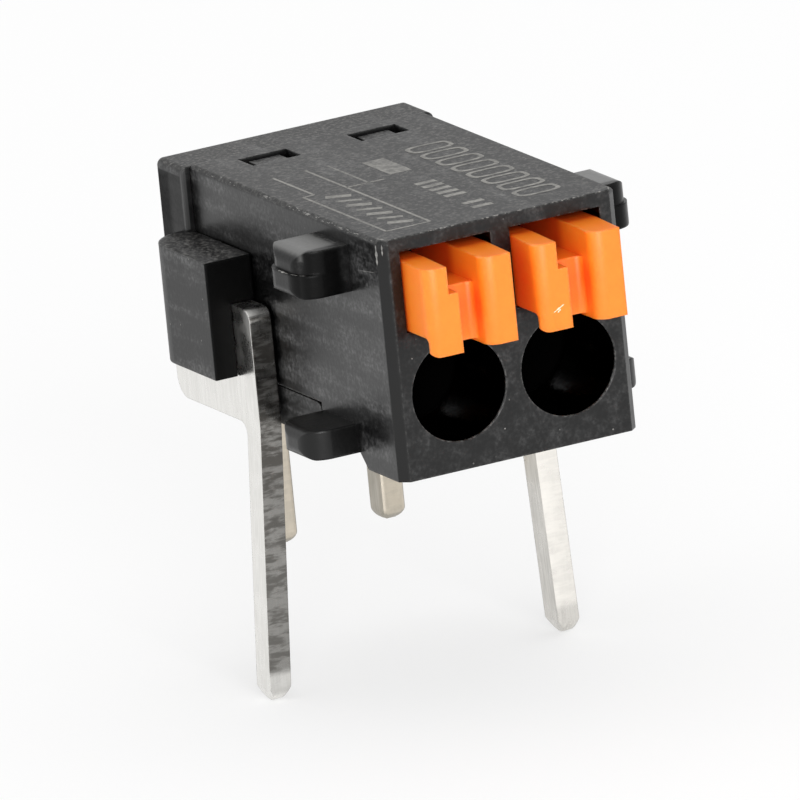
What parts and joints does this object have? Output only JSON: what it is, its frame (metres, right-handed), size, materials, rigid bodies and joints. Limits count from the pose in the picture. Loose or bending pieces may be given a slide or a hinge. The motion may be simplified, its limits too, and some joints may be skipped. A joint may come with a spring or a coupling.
{
  "type": "pluggable terminal block",
  "caption": "Push-in plug with round wire entries and push levers, seated on a right-angle board header with solder pins and long solder legs.",
  "frame": {"origin": "on the board face, midway between the two contact pins", "axes": "+Z away from the board, +X to the right as seen from the wire side, -Y towards the wires"},
  "size_m": [0.0108, 0.0146, 0.0148],
  "materials": {
    "plastic_black": "fine satin moulding, black",
    "lever_orange": "satin moulding, orange",
    "spring_steel": "bare spring strip",
    "bar_copper": "bare stamped copper alloy",
    "tin_silver": "tinned, dull silver"
  },
  "bodies": {
    "header": {"header_body": "plastic_black", "contact_pin_left": "tin_silver", "contact_pin_right": "tin_silver", "solder_leg_left": "tin_silver", "solder_leg_right": "tin_silver"},
    "plug": {"plug_housing": "plastic_black", "plug_rear_cover": "plastic_black", "clamp_spring_left": "spring_steel", "clamp_spring_right": "spring_steel", "current_bar_left": "bar_copper", "current_bar_right": "bar_copper"},
    "lever_left": {"release_lever_left": "lever_orange"},
    "lever_right": {"release_lever_right": "lever_orange"}
  },
  "joints": [
    {"name": "plug_pull", "type": "slide", "parent": "header", "child": "plug", "axis": [0, -1, 0], "range_m": [0, 0.009]},
    {"name": "lever_left_push", "type": "slide", "parent": "plug", "child": "lever_left", "axis": [0, 1, 0], "range_m": [0, 0.001], "stiffness_N_per_m": 500, "springref_m": -0.0005, "deforming": ["clamp_spring_left"]},
    {"name": "lever_right_push", "type": "slide", "parent": "plug", "child": "lever_right", "axis": [0, 1, 0], "range_m": [0, 0.001], "stiffness_N_per_m": 500, "springref_m": -0.0005, "deforming": ["clamp_spring_right"]}
  ]
}
